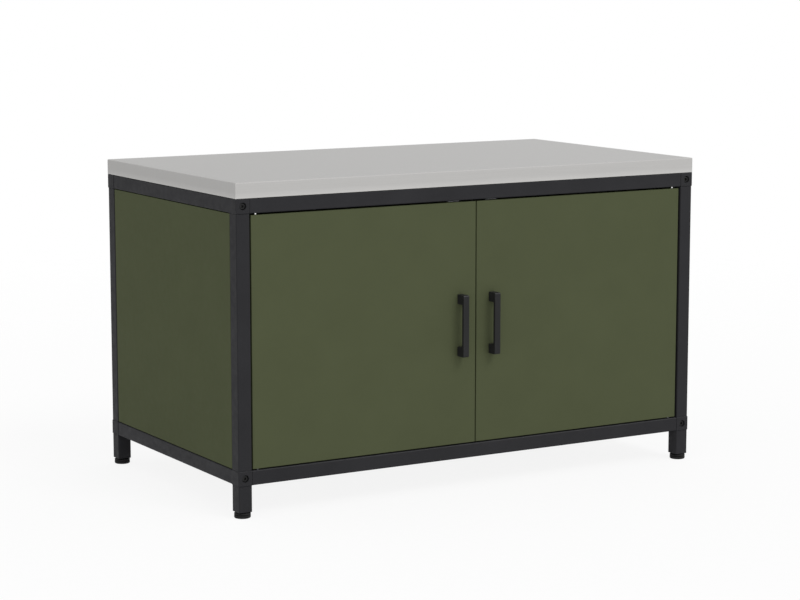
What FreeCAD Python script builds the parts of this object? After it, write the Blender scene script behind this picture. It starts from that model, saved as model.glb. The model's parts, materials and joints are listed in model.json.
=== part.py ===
"""Free-standing kitchen storage cabinet: square-tube frame with cube corners, pivoted inset doors,
inset panels, a stainless worktop and levelling feet.

Frame: origin at the middle of the floor area, +X to the right along the front, +Y to the back, +Z up.
All lengths are millimetres.
"""
import FreeCAD, Part
import os
import re

import Sketcher
from FreeCAD import Placement, Rotation, Vector

# Driving dimensions
SIZES = {
    # Frame of square tube
    "frame_width": 1500,
    "frame_depth": 830,
    "carcass_height": 772,
    "tube": 40,
    "tube_wall": 2,
    "tube_round": 3,
    # Cube corners with spigots
    "cube_proud": 1,
    "cube_edge": 1.5,
    "spigot_length": 30,
    "spigot_clearance": 0.1,
    # Screws that pull the side rails to the corners
    "corner_screw_shank": 10,
    "corner_screw_head": 16,
    "corner_screw_head_height": 10,
    "corner_screw_socket": 8,
    "corner_screw_socket_depth": 5,
    "corner_bore": 10.6,
    "corner_counterbore": 20,
    "corner_counterbore_depth": 14,
    "insert_length": 32,
    "insert_engagement": 25,
    "thread_clearance": 0.1,
    # Legs and levelling feet
    "leg_length": 72,
    "leg_plug_length": 18,
    "foot_height": 17,
    "foot_diameter": 45,
    "foot_pad_height": 14,
    "foot_edge": 2.5,
    "foot_top_edge": 1,
    "foot_groove_height": 8.5,
    "foot_groove_width": 1.5,
    "foot_groove_depth": 2,
    "foot_socket": 14,
    "foot_socket_depth": 7,
    "stud_diameter": 10,
    "stud_length": 46,
    "stud_hex": 17,
    "stud_hex_height": 2,
    "running_clearance": 0.05,
    # Worktop
    "worktop_thickness": 43,
    "worktop_overhang": 1.5,
    "worktop_round": 3,
    "worktop_sheet": 1.5,
    "worktop_return": 15,
    "core_clearance": 0.3,
    "worktop_screw_shank": 6,
    "worktop_screw_head": 11,
    "worktop_screw_head_height": 4,
    "worktop_screw_engagement": 22,
    "worktop_screw_inset": 31,
    "worktop_screw_end": 250,
    # Doors on pivots
    "door_thickness": 20,
    "door_recess": 3.5,
    "door_side_gap": 5,
    "door_centre_gap": 3,
    "door_top_gap": 5,
    "door_bottom_gap": 3,
    "door_edge": 1.2,
    "hinge_inset": 18,
    "pin_diameter": 5,
    "pin_root": 16,
    "pin_flange": 7,
    "pin_flange_thickness": 1,
    "pin_reach": 14,
    "bush_diameter": 7,
    "bush_length": 18,
    "bush_clearance": 0.05,
    "axial_clearance": 0.1,
    # Handles
    "handle_length": 175,
    "handle_width": 19,
    "handle_reach": 33,
    "handle_bar": 8.5,
    "handle_foot": 27,
    "handle_edge": 0.8,
    "handle_offset": 52,
    "handle_drop": 4,
    "handle_screw_shank": 5,
    "handle_screw_head": 9,
    "handle_screw_head_height": 3,
    "handle_screw_engagement": 12,
    "handle_hole_depth": 15,
    # Magnet catches and strike plates
    "catch_width": 46,
    "catch_depth": 13,
    "catch_height": 15,
    "catch_edge": 1,
    "catch_offset": 62,
    "catch_clearance": 0.1,
    "strike_width": 40,
    "strike_height": 11,
    "strike_thickness": 1.5,
    # Panels, floor and shelf
    "panel_thickness": 18,
    "panel_recess": 1,
    "panel_gap": 1.8,
    "panel_edge": 1,
    "floor_thickness": 18,
    "floor_gap": 2.5,
    "shelf_thickness": 25,
    "shelf_gap": 2,
    "shelf_height": 455,
    # Cleats that carry them
    "cleat_leg": 20,
    "cleat_sheet": 2,
    "cleat_width": 18,
    "cleat_end": 120,
    # Length by which a cut runs past the face it leaves
    "overrun": 1,
}

# Places, as rules in the words of the sheet
REAR_PROUD = "max(worktop_overhang; (foot_diameter - tube) / 2)"
FRONT = f"(-(frame_depth + {REAR_PROUD} + door_recess - handle_reach) / 2)"
REAR = f"({FRONT} + frame_depth)"
RAIL_LOW = "(foot_height + leg_length)"
CARCASS_TOP = f"({RAIL_LOW} + carcass_height)"
OPENING_LOW = f"({RAIL_LOW} + tube)"
OPENING_TOP = f"({CARCASS_TOP} - tube)"
OPENING_HEIGHT = "(carcass_height - 2 * tube)"
OPENING_WIDTH = "(frame_width - 2 * tube)"
OPENING_DEPTH = "(frame_depth - 2 * tube)"
POST_X = "((frame_width - tube) / 2)"
POST_Y = {"front": f"({FRONT} + tube / 2)", "rear": f"({REAR} - tube / 2)"}
RAIL_Z = {"bottom": f"({RAIL_LOW} + tube / 2)", "top": f"({CARCASS_TOP} - tube / 2)"}
CUBE = "(tube + 2 * cube_proud)"
BORE = "(tube - 2 * tube_wall)"
SPIGOT = f"({BORE} - 2 * spigot_clearance)"
DOOR_WIDTH = f"(({OPENING_WIDTH} - 2 * door_side_gap - door_centre_gap) / 2)"
DOOR_HEIGHT = f"({OPENING_HEIGHT} - door_top_gap - door_bottom_gap)"
DOOR_X = f"((door_centre_gap + {DOOR_WIDTH}) / 2)"
DOOR_Y = f"({FRONT} + door_recess + door_thickness / 2)"
DOOR_Z = f"({OPENING_LOW} + door_bottom_gap + {DOOR_HEIGHT} / 2)"
DOOR_BACK = f"({DOOR_Y} + door_thickness / 2)"
HINGE_X = f"({OPENING_WIDTH} / 2 - door_side_gap - hinge_inset)"
BUSH_PROUD_LOW = "(door_bottom_gap - pin_flange_thickness - axial_clearance)"
BUSH_PROUD_TOP = "(door_top_gap - pin_flange_thickness - axial_clearance)"
PANEL_INNER = "(panel_recess + panel_thickness)"
HANDLE_Z = f"({DOOR_Z} - handle_drop)"
HANDLE_HOLE = "((handle_length - handle_foot) / 2)"
LEG_END = "foot_height"
WORKTOP_SCREW_X = ("-(frame_width / 2 - worktop_screw_end)", "0", "(frame_width / 2 - worktop_screw_end)")
MIDDLE_Y = f"({FRONT} + frame_depth / 2)"
MIDDLE_Z = f"({OPENING_LOW} + {OPENING_HEIGHT} / 2)"
SIGNS = {"left": "-1", "right": "1"}

doc = FreeCAD.newDocument("cabinet")
sheet = doc.addObject("Spreadsheet::Sheet", "sizes")
for row, (alias, size) in enumerate(SIZES.items(), start=1):
    sheet.set(f"A{row}", alias)
    sheet.set(f"B{row}", str(size))
    sheet.setAlias(f"B{row}", alias)
doc.recompute()
nodes = []


def bound(rule):
    """Turns a rule in the sheet's words into an expression on its cells."""
    return re.sub(r"[a-z_]+", lambda word: f"sizes.{word[0]}" if word[0] in SIZES else word[0], rule)


def value(rule):
    """Works out what a rule comes to, in millimetres."""
    return float(sheet.evalExpression(bound(rule)))


def point(x, y, z):
    return Vector(value(x), value(y), value(z))


def facing(along_x, along_y):
    """Turns a piece so that its own X and Y lie along two given directions."""
    return Rotation(along_x, along_y, along_x.cross(along_y), "XYZ")


X_AXIS = Vector(1, 0, 0)
Y_AXIS = Vector(0, 1, 0)
Z_AXIS = Vector(0, 0, 1)
UPRIGHT = Rotation()
UPSIDE_DOWN = Rotation(X_AXIS, 180)
TURNED_ROUND = Rotation(Z_AXIS, 180)
Z_TO_X = Rotation(Y_AXIS, 90)
Z_TO_Y = Rotation(X_AXIS, -90)
Z_TO_REAR = Rotation(X_AXIS, 90)


def new_body(label):
    body = doc.addObject("PartDesign::Body", label)
    body.Label = label
    return body


def place(piece, x, y, z, turn=UPRIGHT):
    """Puts a piece at a point that follows the sheet."""
    piece.Placement = Placement(Vector(), turn)
    for axis, rule in zip("xyz", (x, y, z)):
        piece.setExpression(f"Placement.Base.{axis}", bound(rule))
    return piece


def keep(piece):
    """Counts a finished piece among the nodes of the part."""
    nodes.append(piece)
    return piece


def sketch_on(body, role, offset="0"):
    """Starts a sketch on one of the body's own planes, or a distance along its normal."""
    sketch = body.newObject("Sketcher::SketchObject", "sketch")
    plane = next(feature for feature in body.Origin.OriginFeatures if feature.Role == role)
    sketch.AttachmentSupport = [(plane, "")]
    sketch.MapMode = "FlatFace"
    sketch.setExpression("AttachmentOffset.Base.z", bound(offset))
    return sketch


def pin_down(sketch, geometry, vertex, x, y):
    """Ties one vertex of a sketch to a pair of rules."""
    for kind, rule in (("DistanceX", x), ("DistanceY", y)):
        length = value(rule)
        index = sketch.addConstraint(Sketcher.Constraint(kind, -1, 1, geometry, vertex, length))
        sketch.setExpression(f"Constraints[{index}]", bound(rule))


def outline(sketch, points):
    """Draws a closed outline through points given as pairs of rules."""
    corners = [point(x, y, "0") for x, y in points]
    first = sketch.GeometryCount
    for start, end in zip(corners, corners[1:] + corners[:1]):
        sketch.addGeometry(Part.LineSegment(start, end))
    for index, (x, y) in enumerate(points):
        before = first + (index - 1) % len(points)
        sketch.addConstraint(Sketcher.Constraint("Coincident", before, 2, first + index, 1))
        pin_down(sketch, first + index, 1, x, y)
    return sketch


def rectangle(sketch, width, height):
    """Draws a rectangle about the sketch's origin."""
    half_width = f"({width}) / 2"
    half_height = f"({height}) / 2"
    low = [(f"-({half_width})", f"-({half_height})"), (half_width, f"-({half_height})")]
    high = [(half_width, half_height), (f"-({half_width})", half_height)]
    return outline(sketch, low + high)


def circle(sketch, diameter, x="0", y="0"):
    """Draws a circle of a bound diameter about a bound centre."""
    radius = value(f"({diameter}) / 2")
    index = sketch.addGeometry(Part.Circle(point(x, y, "0"), Z_AXIS, radius))
    pin_down(sketch, index, 3, x, y)
    size_index = sketch.addConstraint(Sketcher.Constraint("Diameter", index, 2 * radius))
    sketch.setExpression(f"Constraints[{size_index}]", bound(diameter))
    return sketch


def hexagon(sketch, across_flats):
    """Draws a regular hexagon about the sketch's origin."""
    corner = f"(({across_flats}) / sqrt(3))"
    flat = f"(({across_flats}) / 2)"
    right = [(corner, "0"), (f"({corner} / 2)", flat), (f"(-{corner} / 2)", flat)]
    left = [(f"(-{corner})", "0"), (f"(-{corner} / 2)", f"(-{flat})"), (f"({corner} / 2)", f"(-{flat})")]
    return outline(sketch, right + left)


def pad(body, sketch, length, back=False, both_ways=False):
    feature = body.newObject("PartDesign::Pad", "pad")
    feature.Profile = sketch
    feature.setExpression("Length", bound(length))
    feature.Reversed = back
    feature.Midplane = both_ways
    doc.recompute()
    return feature


def pocket(body, sketch, depth=None, back=False):
    """Cuts a sketch out of the body, to a depth or right through it both ways."""
    before = body.Shape.Volume
    feature = body.newObject("PartDesign::Pocket", "pocket")
    feature.Profile = sketch
    feature.Reversed = back
    if depth is None:
        feature.Type = "ThroughAll"
        feature.Midplane = True
    else:
        feature.setExpression("Length", bound(depth))
    doc.recompute()
    if not body.Shape.Volume < before:
        raise RuntimeError(f"{body.Label}: a pocket cut nothing")
    return feature


def revolve(body, points):
    """Turns an outline, in radius and height, about the body's own Z."""
    profile = outline(sketch_on(body, "XZ_Plane"), points)
    feature = body.newObject("PartDesign::Revolution", "revolution")
    feature.Profile = profile
    feature.ReferenceAxis = (profile, ["V_Axis"])
    doc.recompute()
    return feature


def picked_edges(base, wanted):
    return [f"Edge{index}" for index, edge in enumerate(base.Shape.Edges, start=1) if wanted(edge)]


def round_edges(body, base, radius, wanted):
    """Rounds the edges of a feature that a test picks."""
    feature = body.newObject("PartDesign::Fillet", "rounding")
    feature.Base = (base, picked_edges(base, wanted))
    feature.setExpression("Radius", bound(radius))
    doc.recompute()
    return feature


def break_edges(body, base, size, wanted=lambda edge: True):
    """Takes the sharpness off all edges of a feature, or off those that a test picks."""
    feature = body.newObject("PartDesign::Chamfer", "broken_edges")
    feature.Base = (base, picked_edges(base, wanted))
    feature.setExpression("Size", bound(size))
    doc.recompute()
    return feature


def group(label, master, places):
    """Makes one node of separate copies of a piece, at points that follow the sheet."""
    doc.recompute()
    copies = []
    for x, y, z, turn in places:
        copy = master.Shape.copy()
        copy.Placement = Placement(point(x, y, z), turn)
        copies.append(copy)
    feature = doc.addObject("Part::Feature", label)
    feature.Label = label
    feature.Shape = Part.makeCompound(copies)
    return keep(feature)


def block(label, width, depth, height, edge):
    """Makes a board or box about its own middle, with broken edges."""
    body = new_body(label)
    solid = pad(body, rectangle(sketch_on(body, "XY_Plane"), width, depth), height, both_ways=True)
    break_edges(body, solid, edge)
    return body


def tube(label, length):
    """Makes a square tube about its own Z, from zero to its length."""
    body = new_body(label)
    section = sketch_on(body, "XY_Plane")
    rectangle(section, "tube", "tube")
    rectangle(section, BORE, BORE)
    solid = pad(body, section, length)
    reach = value("tube / 2") * 2 ** 0.5

    def outer_corner(edge):
        ends = [vertex.Point for vertex in edge.Vertexes]
        along = abs(ends[0].z - ends[-1].z) > abs(ends[0].x - ends[-1].x) + abs(ends[0].y - ends[-1].y)
        return along and abs(Vector(ends[0].x, ends[0].y, 0).Length - reach) < value("tube_wall")

    round_edges(body, solid, "tube_round", outer_corner)
    return body


# Frame


def corner(level, side, end):
    """Cube corner: spigots into a post, a front or rear rail and a leg, and the screw's counterbore."""
    body = new_body(f"corner_{level}_{end}_{side}")
    height = CUBE if level == "bottom" else "(tube + cube_proud)"
    base = sketch_on(body, "XY_Plane", "-(tube / 2 + cube_proud)")
    cube = pad(body, rectangle(base, CUBE, CUBE), height)
    break_edges(body, cube, "cube_edge")
    inward_is_x = (side == "left") == (end == "front")
    rail_spigot = rectangle(sketch_on(body, "YZ_Plane"), SPIGOT, SPIGOT)
    pad(body, rail_spigot, f"{CUBE} / 2 + spigot_length", back=not inward_is_x)
    post_spigot = rectangle(sketch_on(body, "XY_Plane"), SPIGOT, SPIGOT)
    pad(body, post_spigot, f"{CUBE} / 2 + spigot_length", back=level == "top")
    if level == "bottom":
        leg_spigot = rectangle(sketch_on(body, "XY_Plane"), SPIGOT, SPIGOT)
        pad(body, leg_spigot, f"{CUBE} / 2 + spigot_length", back=True)
    pocket(body, circle(sketch_on(body, "XZ_Plane"), "corner_bore"))
    face = sketch_on(body, "XZ_Plane", f"{CUBE} / 2")
    pocket(body, circle(face, "corner_counterbore"), "corner_counterbore_depth")
    if end == "front":
        sign = "1" if inward_is_x else "-1"
        pin_x = f"{sign} * (tube / 2 + door_side_gap + hinge_inset)"
        pin_y = "door_recess + (door_thickness - tube) / 2"
        pin_seat = circle(sketch_on(body, "XY_Plane"), "pin_diameter + 2 * thread_clearance", pin_x, pin_y)
        pocket(body, pin_seat, "tube / 2", back=level == "bottom")
    turn = UPRIGHT if end == "front" else TURNED_ROUND
    place(body, f"{SIGNS[side]} * {POST_X}", POST_Y[end], RAIL_Z[level], turn)
    return keep(body)


def post(side, end):
    body = tube(f"post_{end}_{side}", f"{OPENING_HEIGHT} - 2 * cube_proud")
    place(body, f"{SIGNS[side]} * {POST_X}", POST_Y[end], f"{OPENING_LOW} + cube_proud")
    return keep(body)


def leg(side, end):
    body = tube(f"leg_{end}_{side}", "leg_length - cube_proud")
    place(body, f"{SIGNS[side]} * {POST_X}", POST_Y[end], LEG_END)
    return keep(body)


def long_rail(level, end):
    """Front or rear rail, with its holes for hinge pins and worktop screws."""
    length = f"({OPENING_WIDTH} - 2 * cube_proud)"
    body = tube(f"rail_{level}_{end}", length)
    if end == "front":
        pins = sketch_on(body, "YZ_Plane")
        for sign in SIGNS.values():
            along = f"{length} / 2 + {sign} * {HINGE_X}"
            across = "door_recess + (door_thickness - tube) / 2"
            circle(pins, "pin_diameter + 2 * thread_clearance", across, along)
        pocket(body, pins, "tube", back=level == "top")
    if level == "top":
        screws = sketch_on(body, "YZ_Plane")
        inset = "worktop_screw_inset - tube / 2"
        across = inset if end == "front" else f"-({inset})"
        for x in WORKTOP_SCREW_X:
            circle(screws, "worktop_screw_shank + 2 * thread_clearance", across, f"{length} / 2 + {x}")
        pocket(body, screws)
    place(body, f"-{length} / 2", POST_Y[end], RAIL_Z[level], Z_TO_X)
    return keep(body)


def side_rail(level, side):
    length = f"({OPENING_DEPTH} - 2 * cube_proud)"
    body = tube(f"rail_{level}_{side}", length)
    start = f"{FRONT} + tube + cube_proud"
    place(body, f"{SIGNS[side]} * {POST_X}", start, RAIL_Z[level], Z_TO_Y)
    return keep(body)


def corner_screws():
    """Socket screws in the corners' counterbores, each pulling on the insert of a side rail."""
    screw = new_body("corner_screw")
    shank = f"{CUBE} - corner_counterbore_depth + insert_engagement"
    head = [("0", "-corner_screw_head_height"), ("corner_screw_head / 2", "-corner_screw_head_height"),
            ("corner_screw_head / 2", "0")]
    stem = [("corner_screw_shank / 2", "0"), ("corner_screw_shank / 2", shank), ("0", shank)]
    revolve(screw, head + stem)
    socket = hexagon(sketch_on(screw, "XY_Plane", "-corner_screw_head_height"), "corner_screw_socket")
    pocket(screw, socket, "corner_screw_socket_depth", back=True)
    seat_depth = f"({CUBE} / 2 - corner_counterbore_depth)"
    places = []
    for level, z in RAIL_Z.items():
        for sign in SIGNS.values():
            x = f"{sign} * {POST_X}"
            places.append((x, f"{POST_Y['front']} - {seat_depth}", z, Z_TO_Y))
            places.append((x, f"{POST_Y['rear']} + {seat_depth}", z, Z_TO_REAR))
    group("corner_screws", screw, places)


def rail_inserts():
    """Threaded blocks in the ends of the side rails."""
    insert = new_body("rail_insert")
    pad(insert, rectangle(sketch_on(insert, "XY_Plane"), SPIGOT, SPIGOT), "insert_length")
    thread = circle(sketch_on(insert, "XY_Plane"), "corner_screw_shank + 2 * thread_clearance")
    pocket(insert, thread)
    places = []
    for z in RAIL_Z.values():
        for sign in SIGNS.values():
            x = f"{sign} * {POST_X}"
            places.append((x, f"{FRONT} + tube + cube_proud", z, Z_TO_Y))
            places.append((x, f"{REAR} - tube - cube_proud", z, Z_TO_REAR))
    group("rail_inserts", insert, places)


# Legs and feet


def leg_plugs():
    """Threaded plugs in the leg ends."""
    plug = new_body("leg_plug")
    pad(plug, rectangle(sketch_on(plug, "XY_Plane"), SPIGOT, SPIGOT), "leg_plug_length")
    pocket(plug, circle(sketch_on(plug, "XY_Plane"), "stud_diameter + 2 * running_clearance"))
    places = [(f"{sign} * {POST_X}", y, LEG_END, UPRIGHT) for y in POST_Y.values() for sign in SIGNS.values()]
    group("leg_plugs", plug, places)


def foot(side, end):
    """Levelling foot: a round pad with a groove, on the floor, and the stud that turns in it."""
    x = f"{SIGNS[side]} * {POST_X}"
    body = new_body(f"foot_pad_{end}_{side}")
    rim = "foot_diameter / 2"
    neck = f"{rim} - foot_groove_depth"
    socket = "foot_socket / 2 + running_clearance"
    floor = "foot_pad_height - foot_socket_depth"
    groove_top = "foot_groove_height + foot_groove_width"
    sole = [("0", "0"), (f"{rim} - foot_edge", "0"), (rim, "foot_edge"), (rim, "foot_groove_height")]
    groove = [(neck, "foot_groove_height"), (neck, groove_top), (rim, groove_top)]
    cap = [(rim, "foot_pad_height - foot_top_edge"), (f"{rim} - foot_top_edge", "foot_pad_height")]
    seat = [(socket, "foot_pad_height"), (socket, floor), ("0", floor)]
    revolve(body, sole + groove + cap + seat)
    keep(place(body, x, POST_Y[end], "0"))

    stud = new_body(f"foot_stud_{end}_{side}")
    ball = "foot_socket / 2"
    thread = "stud_diameter / 2"
    gap = "((foot_height - foot_pad_height - stud_hex_height) / 2)"
    shoulder = f"(foot_socket_depth + {gap} + stud_hex_height / 2)"
    revolve(stud, [("0", "0"), (ball, "0"), (ball, "foot_socket_depth"), (thread, "foot_socket_depth"),
                   (thread, "stud_length"), ("0", "stud_length")])
    nut = hexagon(sketch_on(stud, "XY_Plane", shoulder), "stud_hex")
    pad(stud, nut, "stud_hex_height", both_ways=True)
    keep(place(stud, x, POST_Y[end], floor))


# Worktop


def worktop():
    """Folded stainless skin round a core board, with screws from the top rails."""
    length = "(frame_width + 2 * worktop_overhang)"
    width = "(frame_depth + 2 * worktop_overhang)"
    outer = new_body("worktop_blank")
    blank = pad(outer, rectangle(sketch_on(outer, "XY_Plane"), length, width), "worktop_thickness")
    top = value("worktop_thickness")
    round_edges(outer, blank, "worktop_round",
                lambda edge: max(vertex.Point.z for vertex in edge.Vertexes) > top / 2)
    inside = new_body("worktop_inside")
    hollow = rectangle(sketch_on(inside, "XY_Plane", "worktop_sheet"),
                       f"{length} - 2 * worktop_sheet", f"{width} - 2 * worktop_sheet")
    space = pad(inside, hollow, "worktop_thickness - 2 * worktop_sheet")
    corner_round = "worktop_round - worktop_sheet"
    round_edges(inside, space, corner_round,
                lambda edge: max(vertex.Point.z for vertex in edge.Vertexes) > top / 2)
    mouth = rectangle(sketch_on(inside, "XY_Plane", "-overrun"),
                      f"{length} - 2 * worktop_return", f"{width} - 2 * worktop_return")
    pad(inside, mouth, "overrun + worktop_thickness / 2")
    skin = doc.addObject("Part::Cut", "worktop_skin")
    skin.Label = "worktop_skin"
    skin.Base = outer
    skin.Tool = inside
    keep(place(skin, "0", MIDDLE_Y, CARCASS_TOP))

    core = new_body("worktop_core")
    board = rectangle(sketch_on(core, "XY_Plane"), f"{length} - 2 * (worktop_sheet + core_clearance)",
                      f"{width} - 2 * (worktop_sheet + core_clearance)")
    solid = pad(core, board, "worktop_thickness - 2 * worktop_sheet")
    break_edges(core, solid, corner_round,
                lambda edge: max(vertex.Point.z for vertex in edge.Vertexes) > top / 2)
    pilots = sketch_on(core, "XY_Plane")
    for sign in SIGNS.values():
        for x in WORKTOP_SCREW_X:
            circle(pilots, "worktop_screw_shank + 2 * thread_clearance", x,
                   f"{sign} * (frame_depth / 2 - worktop_screw_inset)")
    pocket(core, pilots, "worktop_screw_engagement", back=True)
    keep(place(core, "0", MIDDLE_Y, f"{CARCASS_TOP} + worktop_sheet"))

    screw = new_body("worktop_screw")
    head = "worktop_screw_head / 2"
    shank = "worktop_screw_shank / 2"
    tip = "tube + worktop_screw_engagement"
    revolve(screw, [("0", "-worktop_screw_head_height"), (head, "-worktop_screw_head_height"), (head, "0"),
                    (shank, "0"), (shank, tip), ("0", tip)])
    rows = (f"{FRONT} + worktop_screw_inset", f"{REAR} - worktop_screw_inset")
    group("worktop_screws", screw, [(x, y, OPENING_TOP, UPRIGHT) for y in rows for x in WORKTOP_SCREW_X])


# Doors


def hinge_pins():
    """Pivot pins, through the front rails into the corners' spigots."""
    pin = new_body("hinge_pin")
    shaft = "pin_diameter / 2"
    flange = "pin_flange / 2"
    revolve(pin, [("0", "-pin_root"), (shaft, "-pin_root"), (shaft, "0"), (flange, "0"),
                  (flange, "pin_flange_thickness"), (shaft, "pin_flange_thickness"),
                  (shaft, "pin_reach"), ("0", "pin_reach")])
    places = []
    for sign in SIGNS.values():
        places.append((f"{sign} * {HINGE_X}", DOOR_Y, OPENING_LOW, UPRIGHT))
        places.append((f"{sign} * {HINGE_X}", DOOR_Y, OPENING_TOP, UPSIDE_DOWN))
    group("hinge_pins", pin, places)


def magnet_catches():
    """Catch cases under the top front rail, behind the doors' free corners."""
    catch = block("magnet_catch", "catch_width", "catch_depth", "catch_height", "catch_edge")
    y = f"{DOOR_BACK} + strike_thickness + catch_clearance + catch_depth / 2"
    z = f"{OPENING_TOP} - catch_height / 2"
    group("magnet_catches", catch, [(f"{sign} * catch_offset", y, z, UPRIGHT) for sign in SIGNS.values()])


def door(side):
    """Door with its bushes, handle, handle screws and strike plate."""
    sign = SIGNS[side]
    x = f"{sign} * {DOOR_X}"
    body = new_body(f"door_{side}")
    panel = rectangle(sketch_on(body, "XZ_Plane"), DOOR_WIDTH, DOOR_HEIGHT)
    solid = pad(body, panel, "door_thickness", both_ways=True)
    break_edges(body, solid, "door_edge")
    pivot = f"{sign} * ({DOOR_WIDTH} / 2 - hinge_inset)"
    seats = ((f"{DOOR_HEIGHT} / 2", BUSH_PROUD_TOP, False), (f"-{DOOR_HEIGHT} / 2", BUSH_PROUD_LOW, True))
    for offset, proud, back in seats:
        seat = circle(sketch_on(body, "XY_Plane", offset), "bush_diameter + 2 * bush_clearance", pivot)
        pocket(body, seat, f"bush_length - {proud}", back=back)
    holes = sketch_on(body, "XZ_Plane")
    for end in SIGNS.values():
        circle(holes, "handle_screw_shank + 2 * thread_clearance", f"{sign} * (handle_offset - {DOOR_X})",
               f"{end} * {HANDLE_HOLE} - handle_drop")
    pocket(body, holes)
    keep(place(body, x, DOOR_Y, DOOR_Z))

    bush = new_body(f"hinge_bush_{side}")
    bore = "pin_diameter / 2 + running_clearance"
    sleeve = "bush_diameter / 2"
    revolve(bush, [(bore, "-bush_length"), (sleeve, "-bush_length"), (sleeve, "0"), (bore, "0")])
    pivot_x = f"{sign} * {HINGE_X}"
    upper_end = f"{DOOR_Z} + {DOOR_HEIGHT} / 2 + {BUSH_PROUD_TOP}"
    lower_end = f"{DOOR_Z} - {DOOR_HEIGHT} / 2 - {BUSH_PROUD_LOW}"
    group(f"hinge_bushes_{side}", bush, [(pivot_x, DOOR_Y, upper_end, UPRIGHT),
                                         (pivot_x, DOOR_Y, lower_end, UPSIDE_DOWN)])

    strike = block(f"strike_plate_{side}", "strike_width", "strike_thickness", "strike_height",
                   "strike_thickness / 4")
    strike_z = f"{DOOR_Z} + {DOOR_HEIGHT} / 2 - door_edge - strike_height / 2"
    keep(place(strike, f"{sign} * catch_offset", f"{DOOR_BACK} + strike_thickness / 2", strike_z))


def handle(side):
    """U-shaped bar handle, and the screws that hold it from the back of the door."""
    x = f"{SIGNS[side]} * handle_offset"
    body = new_body(f"handle_{side}")
    half = "handle_length / 2"
    inner = "(handle_length / 2 - handle_foot)"
    gap = "(handle_reach - handle_bar)"
    bar = [("0", f"-{half}"), ("-handle_reach", f"-{half}"), ("-handle_reach", half), ("0", half)]
    finger_gap = [("0", inner), (f"-{gap}", inner), (f"-{gap}", f"-{inner}"), ("0", f"-{inner}")]
    side_view = outline(sketch_on(body, "YZ_Plane"), bar + finger_gap)
    solid = pad(body, side_view, "handle_width", both_ways=True)
    break_edges(body, solid, "handle_edge")
    holes = sketch_on(body, "XZ_Plane")
    for end in SIGNS.values():
        circle(holes, "handle_screw_shank + 2 * thread_clearance", "0", f"{end} * {HANDLE_HOLE}")
    pocket(body, holes, "handle_hole_depth", back=True)
    keep(place(body, x, f"{FRONT} + door_recess", HANDLE_Z))

    screw = new_body(f"handle_screw_{side}")
    head = "handle_screw_head / 2"
    shank = "handle_screw_shank / 2"
    tip = "door_thickness + handle_screw_engagement"
    revolve(screw, [("0", "-handle_screw_head_height"), (head, "-handle_screw_head_height"), (head, "0"),
                    (shank, "0"), (shank, tip), ("0", tip)])
    places = [(x, DOOR_BACK, f"{HANDLE_Z} + {end} * {HANDLE_HOLE}", Z_TO_REAR) for end in SIGNS.values()]
    group(f"handle_screws_{side}", screw, places)


# Panels, floor and shelf


def cleat_rows():
    """Lists, for each kind of board, where its cleats sit and which way they face."""
    rows = {"panel_cleats": [], "floor_cleats": [], "shelf_brackets": []}
    down = -Z_AXIS
    back_inner = f"({REAR} - {PANEL_INNER})"
    floor_under = f"({OPENING_LOW} - floor_thickness)"
    heights = (f"({OPENING_LOW} + cleat_end)", f"({OPENING_TOP} - cleat_end)")
    ends = ((f"({FRONT} + tube)", Y_AXIS), (f"({REAR} - tube)", -Y_AXIS))
    levels = ((OPENING_LOW, Z_AXIS), (OPENING_TOP, down))
    for side, sign in SIGNS.items():
        inward = X_AXIS if side == "left" else -X_AXIS
        panel_inner = f"({sign} * (frame_width / 2 - {PANEL_INNER}))"
        post_inner = f"({sign} * {OPENING_WIDTH} / 2)"
        quarter = f"({sign} * {OPENING_WIDTH} / 4)"
        bracket = f"({sign} * ({OPENING_WIDTH} / 2 + cleat_width / 2 + panel_recess))"
        for y, away in ends:
            for z in heights:
                rows["panel_cleats"].append((panel_inner, y, z, facing(away, inward)))
            rows["floor_cleats"].append((quarter, y, floor_under, facing(away, down)))
            rows["shelf_brackets"].append((bracket, y, "shelf_height", facing(away, down)))
        for z in heights:
            rows["panel_cleats"].append((post_inner, back_inner, z, facing(inward, -Y_AXIS)))
        for z, away in levels:
            rows["panel_cleats"].append((quarter, back_inner, z, facing(away, -Y_AXIS)))
        rows["floor_cleats"].append((post_inner, MIDDLE_Y, floor_under, facing(inward, down)))
    return rows


def cleats():
    """Angle cleats on the posts and rails, one leg on the frame and one on the board that it carries."""
    cleat = new_body("cleat")
    frame_leg = [("cleat_sheet", "cleat_sheet"), ("cleat_sheet", "cleat_leg"), ("0", "cleat_leg")]
    board_leg = [("0", "0"), ("cleat_leg", "0"), ("cleat_leg", "cleat_sheet")]
    profile = outline(sketch_on(cleat, "XY_Plane"), board_leg + frame_leg)
    pad(cleat, profile, "cleat_width", both_ways=True)
    for label, places in cleat_rows().items():
        group(label, cleat, places)


def side_panel(side):
    """Side panel, set into its opening of the frame."""
    length = f"{OPENING_DEPTH} - 2 * panel_gap"
    height = f"{OPENING_HEIGHT} - 2 * panel_gap"
    body = block(f"panel_{side}", "panel_thickness", length, height, "panel_edge")
    x = f"{SIGNS[side]} * (frame_width / 2 - panel_recess - panel_thickness / 2)"
    return keep(place(body, x, MIDDLE_Y, MIDDLE_Z))


def back_panel():
    body = block("panel_back", f"{OPENING_WIDTH} - 2 * panel_gap", "panel_thickness",
                 f"{OPENING_HEIGHT} - 2 * panel_gap", "panel_edge")
    return keep(place(body, "0", f"{REAR} - panel_recess - panel_thickness / 2", MIDDLE_Z))


def floor_board():
    body = block("floor_board", f"{OPENING_WIDTH} - 2 * floor_gap", f"{OPENING_DEPTH} - 2 * floor_gap",
                 "floor_thickness", "panel_edge")
    return keep(place(body, "0", MIDDLE_Y, f"{OPENING_LOW} - floor_thickness / 2"))


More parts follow.
